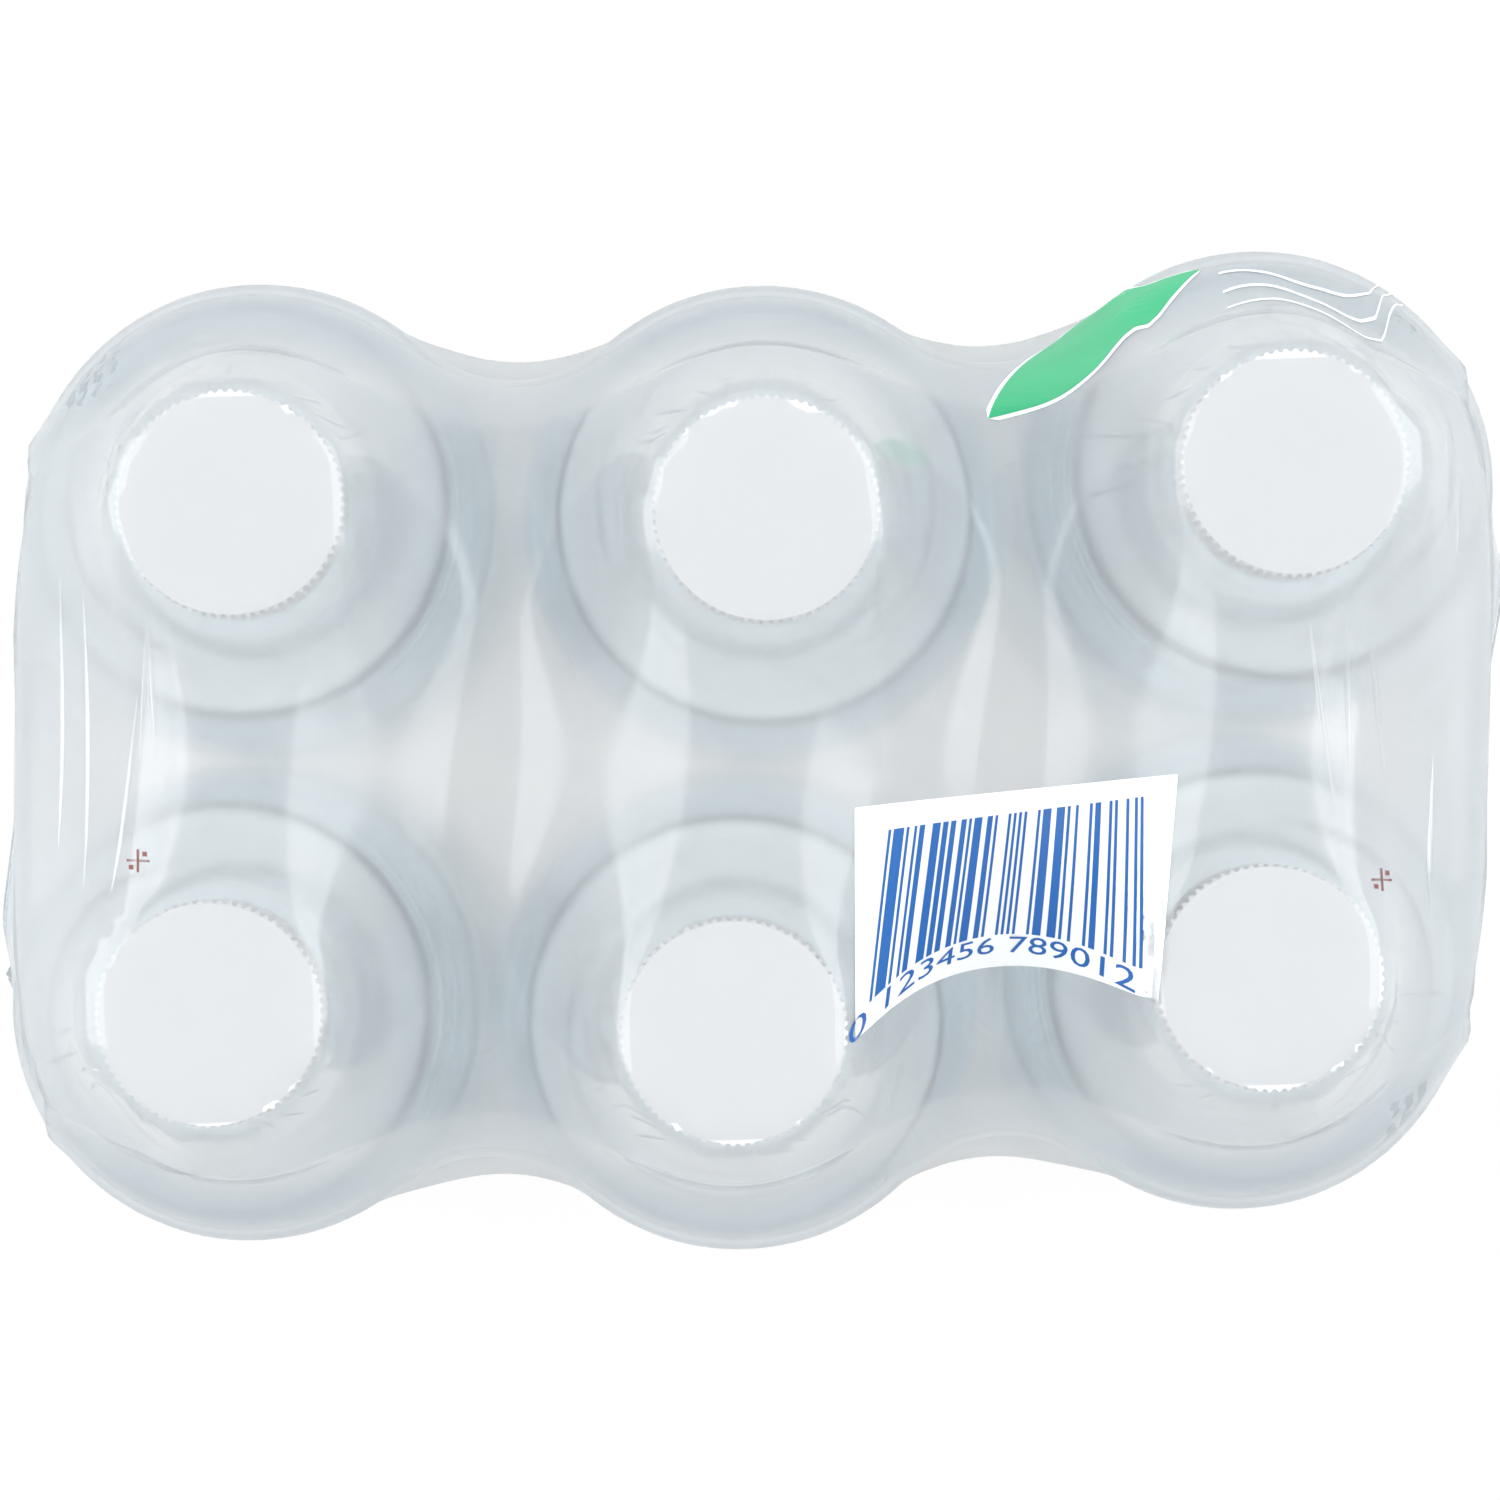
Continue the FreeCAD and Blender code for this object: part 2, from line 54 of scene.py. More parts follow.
CAMERA_SPOT = (-0.0006, 0.0012, 1.0352)
CAMERA_TURN = math.radians(-2.1)
CAMERA_LENS = 161.2  # mm on a 36 mm sensor
TABLE_SIDE = 6.0
TABLE_WHITE = (0.93, 0.93, 0.93, 1)
WHITE = (1, 1, 1, 1)


def node(tree, kind, settings=None, **values):
    """Add a node. Each value is a number, colour or thing for the input of that name,
    with _ for a space or before a number, or a socket to link to it."""
    made = tree.nodes.new(kind if "Node" in kind else "ShaderNode" + kind)
    for name, value in (settings or {}).items():
        setattr(made, name, value)
    for name, value in values.items():
        socket = made.inputs[int(name[1:]) if name[0] == "_" else name.replace("_", " ")]
        if isinstance(value, bpy.types.NodeSocket):
            tree.links.new(value, socket)
        else:
            socket.default_value = value
    return made


def new_material(name):
    """A material with nothing in its tree, and that tree."""
    material = bpy.data.materials.new(name)
    material.use_nodes = True
    material.node_tree.nodes.clear()
    return material, material.node_tree


def sees_white(tree):
    """1 for the rays that look at the table: straight, mirrored or through."""
    path = node(tree, "LightPath")
    looks = node(tree, "Math", {"operation": "MAXIMUM"},
                 _0=path.outputs["Is Camera Ray"], _1=path.outputs["Is Glossy Ray"])
    looks = node(tree, "Math", {"operation": "MAXIMUM"},
                 _0=looks.outputs[0], _1=path.outputs["Is Transmission Ray"])
    return looks.outputs[0]


camera = bpy.data.objects.new("camera", bpy.data.cameras.new("camera"))
camera.data.sensor_width = 36
camera.data.lens = CAMERA_LENS
camera.location = CAMERA_SPOT
camera.rotation_euler = (0, 0, CAMERA_TURN)
scene.collection.objects.link(camera)
scene.camera = camera

table_mesh = bpy.data.meshes.new("table")
side = TABLE_SIDE / 2
table_mesh.from_pydata([(-side, -side, -0.0002), (side, -side, -0.0002),
                        (side, side, -0.0002), (-side, side, -0.0002)], [], [(0, 1, 2, 3)])
table = bpy.data.objects.new("table", table_mesh)
scene.collection.objects.link(table)
table_white, tree = new_material("table_white")
plain = node(tree, "BsdfDiffuse", Color=TABLE_WHITE)
glow = node(tree, "Emission", Color=WHITE, Strength=1.0)
share = node(tree, "Math", {"operation": "MULTIPLY"}, _0=sees_white(tree), _1=0.94)
both = node(tree, "MixShader", _0=share.outputs[0], _1=plain.outputs[0], _2=glow.outputs[0])
node(tree, "OutputMaterial", Surface=both.outputs[0])
table_mesh.materials.append(table_white)

world = bpy.data.worlds.new("studio")
scene.world = world
world.use_nodes = True
tree = world.node_tree
tree.nodes.clear()
path = node(tree, "LightPath")
room = node(tree, "Background", Color=(0.97, 0.985, 1.0, 1), Strength=1.3)
white = node(tree, "Background", Color=WHITE, Strength=1.0)
both = node(tree, "MixShader", _0=path.outputs["Is Camera Ray"],
            _1=room.outputs[0], _2=white.outputs[0])
node(tree, "OutputWorld", Surface=both.outputs[0])


def softbox(name, spot, size, power):
    """A square lamp that faces the middle of the pack."""
    lamp = bpy.data.objects.new(name, bpy.data.lights.new(name, "AREA"))
    lamp.data.shape = "SQUARE"
    lamp.data.size = size
    lamp.data.energy = power
    lamp.location = spot
    lamp.rotation_euler = (Vector((0, 0, 0.1)) - Vector(spot)).to_track_quat("-Z", "Y").to_euler()
    scene.collection.objects.link(lamp)


softbox("softbox_left", (-2.2, 0.5, 1.2), 2.4, 45)
softbox("softbox_right", (2.2, 0.6, 1.3), 2.4, 45)
scene.cycles.max_bounces = 24
scene.cycles.transmission_bounces = 24
scene.cycles.glossy_bounces = 12
scene.cycles.diffuse_bounces = 2
scene.cycles.transparent_max_bounces = 48
scene.cycles.caustics_refractive = True

# ---------------------------------------------------------------------------
# The bottles: blown PET with a faint blue tint, clear and glossy, with the slight
# waviness of a blow mould. The tint is deeper where one looks along the wall.
# ---------------------------------------------------------------------------



def blend(tree, factor, *stops):
    """A colour that runs through these places and colours as the factor grows."""
    made = node(tree, "ValToRGB", Fac=factor)
    marks = made.color_ramp.elements
    for mark, (at, colour) in zip(marks, (stops[0], stops[-1])):
        mark.position = at
        mark.color = (*colour, 1)
    for at, colour in stops[1:-1]:
        marks.new(at).color = (*colour, 1)
    return made.outputs["Color"]


def coat(names, material):
    """Give these nodes of the frame this material alone."""
    for name in names:
        nodes[name].data.materials.clear()
        nodes[name].data.materials.append(material)


pet, tree = new_material("pet")
place = node(tree, "TexCoord")
swell = node(tree, "TexNoise", Vector=place.outputs["Object"], Scale=60.0, Detail=1.0)
wavy = node(tree, "Bump", Strength=0.25, Distance=0.0004, Height=swell.outputs["Fac"])
slant = node(tree, "LayerWeight", Blend=0.5)
spread = node(tree, "MapRange", Value=swell.outputs["Fac"], To_Min=-0.05, To_Max=0.05)
depth = node(tree, "Math", {"operation": "ADD"}, _0=slant.outputs["Facing"],
             _1=spread.outputs[0])
tint = blend(tree, depth.outputs[0], (0, (0.95, 0.985, 0.998)), (0.5, (0.92, 0.97, 0.99)),
             (1, (0.74, 0.89, 0.96)))
clear = node(tree, "BsdfPrincipled", Base_Color=tint, Roughness=0.0, IOR=1.5,
             Transmission_Weight=1.0, Normal=wavy.outputs[0])
node(tree, "OutputMaterial", Surface=clear.outputs[0])
coat(["bottle_%d" % number for number in range(1, 7)], pet)

# ---------------------------------------------------------------------------
# The water, up to its level in each bottle. Its skin lies just inside the wall
# of the bottle, so that no air shows between the two.
# ---------------------------------------------------------------------------

WATER_REACH = 0.00015  # how far the water reaches into the wall

still, tree = new_material("still_water")
place = node(tree, "TexCoord")
depth = node(tree, "TexNoise", Vector=place.outputs["Object"], Scale=8.0, Detail=1.0)
tone = blend(tree, depth.outputs["Fac"], (0, (0.975, 0.995, 1)), (1, (0.985, 0.998, 1)))
liquid = node(tree, "BsdfPrincipled", Base_Color=tone, Roughness=0.0, IOR=1.333,
              Transmission_Weight=1.0)
node(tree, "OutputMaterial", Surface=liquid.outputs[0])

for number in range(1, 7):
    name = "water_%d" % number
    source = nodes[name].data
    mesh = source.copy()
    mesh.name = name + "_filling"
    spots = np.array([v.co for v in source.vertices])
    normals = np.array([n.vector for n in source.corner_normals])
    corners = np.array([loop.vertex_index for loop in source.loops])
    outward = np.zeros_like(spots)
    np.add.at(outward, corners, normals)
    outward /= np.linalg.norm(outward, axis=1)[:, None]
    level = outward[:, 2] > 0.98
    outward[level] = 0
    mesh.vertices.foreach_set("co", (spots + outward * WATER_REACH).ravel())
    filling = bpy.data.objects.new(name + "_filling", mesh)
    scene.collection.objects.link(filling)
    mesh.materials.clear()
    mesh.materials.append(still)
    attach(filling, "root")
    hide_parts(name)

# ---------------------------------------------------------------------------
# The labels: a clear film printed in pale colours, wrapped once round the recess
# and glued where its end overlaps its start.
# ---------------------------------------------------------------------------

LABEL_OFF = 0.0001    # from the wall to the label
LABEL_LAP = 0.006     # overlap at the glued strip
LABEL_TURNS = (-150, -95, 20, 30, 85, 60)  # degrees, where each label's seam faces


def geometry_tree(name, **inputs):
    """A geometry tree with these inputs, each a socket type and a value, and the tree's
    input node."""
    tree = bpy.data.node_groups.new(name, "GeometryNodeTree")
    tree.interface.new_socket("Geometry", in_out="OUTPUT", socket_type="NodeSocketGeometry")
    for label, (kind, value) in inputs.items():
        socket = tree.interface.new_socket(label, in_out="INPUT", socket_type="NodeSocket" + kind)
        if value is not None:
            socket.default_value = value
    return tree, tree.nodes.new("NodeGroupInput")


def finish_tree(tree, geometry, material):
    """End the tree with plain geometry in this material."""
    plain = node(tree, "GeometryNodeRealizeInstances", _0=geometry)
    coated = node(tree, "GeometryNodeSetMaterial", Geometry=plain.outputs[0], Material=material)
    end = tree.nodes.new("NodeGroupOutput")
    tree.links.new(coated.outputs[0], end.inputs[0])


def grown(name, tree, mesh=None, **values):
    """A plain mesh object with what the tree makes of the mesh for these values."""
    thing = bpy.data.objects.new(name, mesh or bpy.data.meshes.new(name))
    scene.collection.objects.link(thing)
    maker = thing.modifiers.new("maker", "NODES")
    maker.node_group = tree
    for socket in tree.interface.items_tree:
        if socket.in_out == "INPUT" and socket.name in values:
            maker[socket.identifier] = values[socket.name]
    graph = bpy.context.evaluated_depsgraph_get()
    made = bpy.data.meshes.new_from_object(
        thing.evaluated_get(graph), preserve_all_data_layers=True, depsgraph=graph)
    thing.modifiers.clear()
    thing.data = made
    made.name = name
    return thing


printed, tree = new_material("label_print")
place = node(tree, "Attribute", {"attribute_name": "wrap"})
split = node(tree, "SeparateXYZ", Vector=place.outputs["Vector"])
turn = node(tree, "Math", {"operation": "MULTIPLY"}, _0=split.outputs["X"], _1=4 * math.pi)
wave = node(tree, "Math", {"operation": "SINE"}, _0=turn.outputs[0])
sway = node(tree, "Math", {"operation": "MULTIPLY"}, _0=wave.outputs[0], _1=0.05)
height = node(tree, "Math", {"operation": "ADD"}, _0=split.outputs["Y"], _1=sway.outputs[0])
bands = blend(tree, height.outputs[0],
              (0, (0.30, 0.62, 0.90)), (0.24, (0.40, 0.70, 0.93)), (0.26, (0.97, 0.98, 0.99)),
              (0.72, (0.95, 0.98, 1.0)), (0.76, (0.60, 0.83, 0.97)), (1, (0.62, 0.84, 0.97)))
aside = node(tree, "Math", {"operation": "SUBTRACT"}, _0=split.outputs["X"], _1=0.5)
aside = node(tree, "Math", {"operation": "ABSOLUTE"}, _0=aside.outputs[0])
patch = node(tree, "MapRange", {"interpolation_type": "SMOOTHSTEP"},
             Value=aside.outputs[0], From_Min=0.22, From_Max=0.12)
high = node(tree, "MapRange", {"interpolation_type": "SMOOTHSTEP"},
            Value=height.outputs[0], From_Min=0.80, From_Max=0.84)
both = node(tree, "Math", {"operation": "MULTIPLY"}, _0=patch.outputs[0], _1=high.outputs[0])
pink = node(tree, "Mix", {"data_type": "RGBA"})
pink.inputs["B"].default_value = (0.93, 0.50, 0.66, 1)
tree.links.new(both.outputs[0], pink.inputs["Factor"])
tree.links.new(bands, pink.inputs["A"])
front = node(tree, "BsdfDiffuse", Color=pink.outputs["Result"])
through = node(tree, "BsdfTranslucent", Color=pink.outputs["Result"])
ink = node(tree, "MixShader", _0=0.5, _1=front.outputs[0], _2=through.outputs[0])
bare = node(tree, "BsdfTransparent", Color=(0.97, 0.985, 0.995, 1))
both = node(tree, "MixShader", _0=0.82, _1=ink.outputs[0], _2=bare.outputs[0])
node(tree, "OutputMaterial", Surface=both.outputs[0])

wrap_tree, sizes = geometry_tree(
    "wrapped_label", Radius=("Float", 0.03), Height=("Float", 0.05), Lap=("Float", 0.006),
    Step=("Float", 0.0001), Across=("Int", 181), Up=("Int", 19), Coat=("Material", None))
sheet = node(wrap_tree, "GeometryNodeMeshGrid", Size_X=1.0, Size_Y=1.0,
             Vertices_X=sizes.outputs["Across"], Vertices_Y=sizes.outputs["Up"])
kept = node(wrap_tree, "GeometryNodeStoreNamedAttribute",
            {"data_type": "FLOAT2", "domain": "CORNER"}, Geometry=sheet.outputs["Mesh"],
            Name="wrap", Value=sheet.outputs["UV Map"])
flat = node(wrap_tree, "SeparateXYZ", _0=node(wrap_tree, "GeometryNodeInputPosition").outputs[0])
share = node(wrap_tree, "Math", {"operation": "ADD"}, _0=flat.outputs["X"], _1=0.5)
extra = node(wrap_tree, "Math", {"operation": "DIVIDE"}, _0=sizes.outputs["Lap"],
             _1=sizes.outputs["Radius"])
sweep = node(wrap_tree, "Math", {"operation": "ADD"}, _0=extra.outputs[0], _1=2 * math.pi)
angle = node(wrap_tree, "Math", {"operation": "MULTIPLY"}, _0=share.outputs[0],
             _1=sweep.outputs[0])
out = node(wrap_tree, "Math", {"operation": "MULTIPLY_ADD"}, _0=share.outputs[0],
           _1=sizes.outputs["Step"], _2=sizes.outputs["Radius"])
rise = node(wrap_tree, "Math", {"operation": "MULTIPLY"}, _0=flat.outputs["Y"],
            _1=sizes.outputs["Height"])
ring = node(wrap_tree, "CombineXYZ", X=out.outputs[0], Z=rise.outputs[0])
turned = node(wrap_tree, "VectorRotate", {"rotation_type": "Z_AXIS"}, Vector=ring.outputs[0],
              Angle=angle.outputs[0])
wrapped = node(wrap_tree, "GeometryNodeSetPosition", Geometry=kept.outputs[0],
               Position=turned.outputs[0])
smooth = node(wrap_tree, "GeometryNodeSetShadeSmooth", Geometry=wrapped.outputs[0])
finish_tree(wrap_tree, smooth.outputs[0], sizes.outputs["Coat"])

for number, turn in enumerate(LABEL_TURNS, 1):
    name = "label_%d" % number
    spots = np.array([v.co for v in nodes[name].data.vertices])
    top = spots[:, 2] > spots[:, 2].mean()
    foot, head = (Vector(spots[part].mean(0)) for part in (~top, top))
    wall = min((Vector(spot) - head).length for spot in spots[top])
    label = grown(name + "_wrap", wrap_tree, Radius=wall + LABEL_OFF,
                  Height=(head - foot).length, Lap=LABEL_LAP, Coat=printed)
    lean = (head - foot).to_track_quat("Z", "Y").to_matrix().to_4x4()
    spin = Matrix.Rotation(math.radians(turn - 180), 4, "Z")
    label.data.transform(Matrix.Translation((foot + head) / 2) @ lean @ spin)
    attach(label, "root")
    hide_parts(name)

# ---------------------------------------------------------------------------
# The caps: moulded in white polypropylene with fine knurls round the side, and
# screwed down on the bottles' necks. Their skin is matt, with a faint grain.
# ---------------------------------------------------------------------------

cap_white, tree = new_material("cap_white")
place = node(tree, "TexCoord")
grain = node(tree, "TexNoise", Vector=place.outputs["Object"], Scale=900.0, Detail=2.0)
tooth = node(tree, "Bump", Strength=0.15, Distance=0.0001, Height=grain.outputs["Fac"])
shade = blend(tree, grain.outputs["Fac"], (0, (0.70, 0.715, 0.73)), (1, (0.74, 0.755, 0.77)))
plastic = node(tree, "BsdfPrincipled", Base_Color=shade, Roughness=0.4, Normal=tooth.outputs[0])
node(tree, "OutputMaterial", Surface=plastic.outputs[0])
coat(["cap_%d" % number for number in range(1, 7)], cap_white)

# ---------------------------------------------------------------------------
# The shrink film: one sleeve of milky polyethylene, shrunk on in an oven, which
# rests on the caps and on the bottles' sides and hangs free between them. It is
# drawn taut here loop by loop, outwards from the middle of the pack.
# ---------------------------------------------------------------------------

FILM_WALL = 0.00008
FILM_ROUND = 288      # points on one loop round the pack
FILM_STRAIGHT = 100   # spaces between loops over the straight part
FILM_FAN = 30         # more loops that turn round each end
FILM_PULL = 3.0       # pull round the pack, for a pull of 1 along it
FILM_SLACK = 0.015    # how far it may lie outside the CAD film over the top
FILM_CLEAR = 0.00015  # space between the film and what it rests on
FILM_TURNS = 400      # rounds of drawing it taut
FILM_EASE = 0.9       # share of the way it moves in one round
TURN_X = 0.0805       # where the loops start to turn round the ends
EYE = (0.029, 0.038)  # half the width and height of a hand opening
CHART_MIDDLE = 0.5    # the chart's value at the middle of the top, both ways
CHART_FAN = 0.06      # length that the chart gives to the turn round an end


def oblong(count, wide, high):
    """Points evenly spaced round an upright rectangle, from the middle of its foot."""
    corners = np.array([(0, -1), (1, -1), (1, 1), (-1, 1), (-1, -1), (0, -1)]) * (wide, high)
    run = np.concatenate([[0], np.cumsum(np.linalg.norm(np.diff(corners, axis=0), axis=1))])
    spots = np.linspace(0, run[-1], count, endpoint=False)
    return np.stack([np.interp(spots, run, corners[:, axis]) for axis in range(2)], 1)


def film_rays():
    """A start and a direction for each point of the film, loop by loop."""
    low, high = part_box("film_wrap")
    middle = (low + high) / 2
    half = (high - low) / 2
    targets = oblong(FILM_ROUND, half.y, half.z)
    steps = np.arange(-FILM_FAN - FILM_STRAIGHT // 2, FILM_FAN + FILM_STRAIGHT // 2 + 1)
    starts, ways = [], []
    for step in steps:
        fan = max(abs(step) - FILM_STRAIGHT // 2, 0) / FILM_FAN
        side = 1 if step > 0 else -1
        x = side * TURN_X * min(abs(step) / (FILM_STRAIGHT / 2), 1)
        rim = targets / np.hypot(targets[:, 0] / EYE[0], targets[:, 1] / EYE[1])[:, None]
        inwards = rim - targets
        length = np.linalg.norm(inwards, axis=1)[:, None]
        run = (half.x - TURN_X + length) * fan
        over = np.minimum(run, half.x - TURN_X)
        flat = targets + inwards / length * (run - over)
        way = np.column_stack([side * over[:, 0], flat])
        ways.append(way / np.linalg.norm(way, axis=1)[:, None])
        starts.append(np.tile((x, middle.y, middle.z), (FILM_ROUND, 1)))
    return np.array(starts), np.array(ways)


def merged_tree(objects):
    """One search tree of several meshes."""
    spots, faces = [], []
    for thing in objects:
        first = len(spots)
        spots += [vertex.co.copy() for vertex in thing.data.vertices]
        faces += [[first + corner for corner in face.vertices] for face in thing.data.polygons]
    return BVHTree.FromPolygons(spots, faces)


def outer_reach(tree, starts, ways):
    """How far out along each ray the meshes in the tree reach, or 0."""
    far = 0.25
    reach = np.zeros(starts.shape[:2])
    for column in range(starts.shape[0]):
        for place in range(starts.shape[1]):
            way = Vector(ways[column, place])
            hit = tree.ray_cast(Vector(starts[column, place]) + way * far, -way, far)
            if hit[0] is not None:
                reach[column, place] = far - hit[3]
    return reach


starts, ways = film_rays()
cad_film = outer_reach(merged_tree([nodes["film_wrap"]]), starts, ways)
for column in range(1, len(cad_film)):
    for order in (column, -1 - column):
        before = order - 1 if order > 0 else order + 1
        missed = cad_film[order] == 0
        cad_film[order][missed] = cad_film[before][missed]
bodies = outer_reach(merged_tree([nodes["bottle_%d" % n] for n in range(1, 7)]), starts, ways)
caps = outer_reach(merged_tree([nodes["cap_%d" % n] for n in range(1, 7)]), starts, ways)
near = np.maximum(bodies, caps)
for over in (-1, 1):
    near = np.maximum(near, np.roll(caps, over, 1))
    near[1:-1] = np.maximum(near[1:-1], np.roll(caps, over, 0)[1:-1])
near = np.minimum(near + FILM_CLEAR, cad_film)
low, high = (np.array(corner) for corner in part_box("film_wrap"))
walls = np.where(ways > 0, high, low)
far = np.divide(walls - starts, ways, out=np.ones_like(ways), where=abs(ways) > 1e-6).min(-1)
over_top = np.clip((ways[..., 2] - 0.5) * 4, 0, 1)
far = np.minimum(far, cad_film + FILM_SLACK * over_top)
reach = cad_film.copy()
spots = starts + ways * reach[..., None]
for turn in range(FILM_TURNS):
    wish = FILM_PULL * (np.roll(spots, 1, 1) + np.roll(spots, -1, 1))
    wish[1:-1] += spots[:-2] + spots[2:]
    wish[1:-1] /= 2 * FILM_PULL + 2
    taut = ((wish - starts) * ways).sum(-1)[1:-1]
    out = FILM_EASE * taut + (1 - FILM_EASE) * reach[1:-1]
    reach[1:-1] = np.clip(out, near[1:-1], far[1:-1])
    spots = starts + ways * reach[..., None]

columns, rounds = spots.shape[:2]
corner = np.arange(columns * rounds).reshape(columns, rounds)
faces = np.stack([corner[:-1], np.roll(corner, -1, 1)[:-1],
                  np.roll(corner, -1, 1)[1:], corner[1:]], -1).reshape(-1, 4)
film_mesh = bpy.data.meshes.new("film")
film_mesh.from_pydata(spots.reshape(-1, 3).tolist(), [], faces.tolist())
film_mesh.shade_smooth()

# The film's chart, in metres: how far along the pack, and how far round it from the
# middle of the top, towards the back.
ring = np.concatenate([spots, spots[:, :1]], 1)
run = np.cumsum(np.linalg.norm(np.diff(ring, axis=1), axis=2), 1)
run = np.concatenate([np.zeros((columns, 1)), run], 1)
round_chart = CHART_MIDDLE + run[:, rounds // 2][:, None] - run
fan_x = np.linspace(0, CHART_FAN, FILM_FAN + 1)[1:]
along_chart = CHART_MIDDLE + np.concatenate(
    [-TURN_X - fan_x[::-1], starts[FILM_FAN:-FILM_FAN, 0, 0], TURN_X + fan_x])
chart = film_mesh.uv_layers.new(name="chart")
over = [(0, 0), (0, 1), (1, 1), (1, 0)]
places = [[(along_chart[c + dc], round_chart[c + dc, r + dr]) for dc, dr in over]
          for c in range(columns - 1) for r in range(rounds)]
chart.data.foreach_set("uv", np.array(places, dtype=np.float32).ravel())
film = bpy.data.objects.new("film", film_mesh)
scene.collection.objects.link(film)

milky, tree = new_material("milky_film")
place = node(tree, "TexCoord")
cloud = node(tree, "TexNoise", Vector=place.outputs["Object"], Scale=25.0, Detail=3.0)
slant = node(tree, "LayerWeight", Blend=0.5)
tint = blend(tree, slant.outputs["Facing"], (0, (1, 1, 1)), (0.5, (0.98, 0.99, 1)),
             (1, (0.84, 0.92, 0.96)))
# the film is tinted darker and bluer on its sides, from 6 to 15 cm up, fading out below and above
height = node(tree, "SeparateXYZ", Vector=place.outputs["Object"])
low = blend(tree, height.outputs["Z"], (0.02, (1, 1, 1)), (0.06, (0.78, 0.89, 0.95)),
            (0.15, (0.78, 0.89, 0.95)), (0.195, (1, 1, 1)))
depth = node(tree, "Mix", {"data_type": "RGBA", "blend_type": "MULTIPLY"})
depth.inputs["Factor"].default_value = 1.0
tree.links.new(tint, depth.inputs["A"])
tree.links.new(low, depth.inputs["B"])
frost = node(tree, "BsdfPrincipled", Base_Color=depth.outputs["Result"], Roughness=0.14,
             IOR=1.5, Transmission_Weight=1.0)
veil = node(tree, "BsdfTranslucent", Color=(0.97, 0.98, 0.99, 1))
face = node(tree, "BsdfDiffuse", Color=(0.97, 0.98, 0.99, 1))
haze = node(tree, "MixShader", _0=0.5, _1=veil.outputs[0], _2=face.outputs[0])
clear = node(tree, "BsdfTransparent", Color=(0.98, 0.985, 0.99, 1))
edge = node(tree, "LayerWeight", Blend=0.3)
slant = node(tree, "MapRange", Value=edge.outputs["Facing"], To_Min=0.05, To_Max=0.6)
sheer = node(tree, "MixShader", _0=slant.outputs[0], _1=frost.outputs[0], _2=clear.outputs[0])
thick = node(tree, "MapRange", Value=cloud.outputs["Fac"], To_Min=0.16, To_Max=0.20)
both = node(tree, "MixShader", _0=thick.outputs[0], _1=sheer.outputs[0], _2=haze.outputs[0])
node(tree, "OutputMaterial", Surface=both.outputs[0])
film_mesh.materials.append(milky)

# ---------------------------------------------------------------------------
# The print on the film: flat fields of ink, laid down before the film is shrunk
# and drawn out of square with it where it dips between the caps.
# ---------------------------------------------------------------------------

PANEL = ((0.0121, -0.0066), (0.0524, -0.0039), (0.0111, -0.0355), (0.0487, -0.0328))
BARS = ((0.0163, -0.0096), (0.0482, -0.0066), (0.0130, -0.0310), (0.0471, -0.0284))
SAG = 0.0058          # how far the middle of the lower edge is drawn up
INK = 0.00005         # from one layer of ink to the next
MODULES = 95          # widths of the slimmest bar in the whole code
DIGITS = "0 123456 789012"
DIGIT_ROOM = 0.14     # height of the digit row, in heights of the bars
LEAF_RIGHT = ((0.0315, 0.047), (0.041, 0.0505), (0.046, 0.060), (0.050, 0.076),
              (0.0545, 0.088), (0.061, 0.103))
LEAF_LEFT = ((0.0315, 0.047), (0.0345, 0.060), (0.0395, 0.079), (0.0435, 0.094),
             (0.0495, 0.106), (0.061, 0.103))
KEYLINE = 0.0008      # width of the white line round the leaf
WAVES = ((0.084, 0.0), (0.090, 0.6), (0.096, 1.2))   # place round the film, and phase
WAVE_WIDE = 0.0009
MARKS = ((-0.0769, -0.0102), (0.0773, -0.0182))      # the two register marks


def laid_on_film():
    """A tree that lays a flat shape on the film: x along it, y round it, z off it."""
    tree, sizes = geometry_tree("laid_on_film", Shape=("Geometry", None),
                                Film=("Object", None), Coat=("Material", None))
    flat = node(tree, "GeometryNodeInputPosition")
    lift = node(tree, "SeparateXYZ", Vector=flat.outputs[0])
    shifted = node(tree, "VectorMath", _0=flat.outputs[0], _1=(CHART_MIDDLE, CHART_MIDDLE, 0))
    under = node(tree, "GeometryNodeObjectInfo", Object=sizes.outputs["Film"])
    places = node(tree, "GeometryNodeInputNamedAttribute", {"data_type": "FLOAT_VECTOR"},
                  Name="chart")

    def beneath(value):
        found = node(tree, "GeometryNodeSampleUVSurface", {"data_type": "FLOAT_VECTOR"},
                     Mesh=under.outputs["Geometry"], Value=value)
        tree.links.new(places.outputs[0], found.inputs["UV Map"])
        tree.links.new(shifted.outputs[0], found.inputs["Sample UV"])
        return found.outputs[0]

    spot = beneath(node(tree, "GeometryNodeInputPosition").outputs[0])
    normal = beneath(node(tree, "GeometryNodeInputNormal").outputs[0])
    raised = node(tree, "VectorMath", {"operation": "SCALE"}, Vector=normal,
                  Scale=lift.outputs["Z"])
    placed = node(tree, "VectorMath", _0=spot, _1=raised.outputs[0])
    laid = node(tree, "GeometryNodeSetPosition", Geometry=sizes.outputs["Shape"],
                Position=placed.outputs[0])
    finish_tree(tree, laid.outputs[0], sizes.outputs["Coat"])
    return tree


def sagged(corners, across, down):
    """The place at these shares of the way across and down a four-cornered field."""
    left, right, low_left, low_right = (np.array(corner) for corner in corners)
    top = left + (right - left) * across
    foot = low_left + (low_right - low_left) * across
    sag = SAG * down * 4 * across * (1 - across)
    return tuple(top + (foot - top) * down + (0, sag))


def strip(left, right, layer):
    """The vertices and faces of a strip between two rows of places, at this layer."""
    row = len(left)
    spots = [(*spot, INK * layer) for spot in [*left, *right]]
    return spots, [(k, k + row, k + row + 1, k + 1) for k in range(row - 1)]


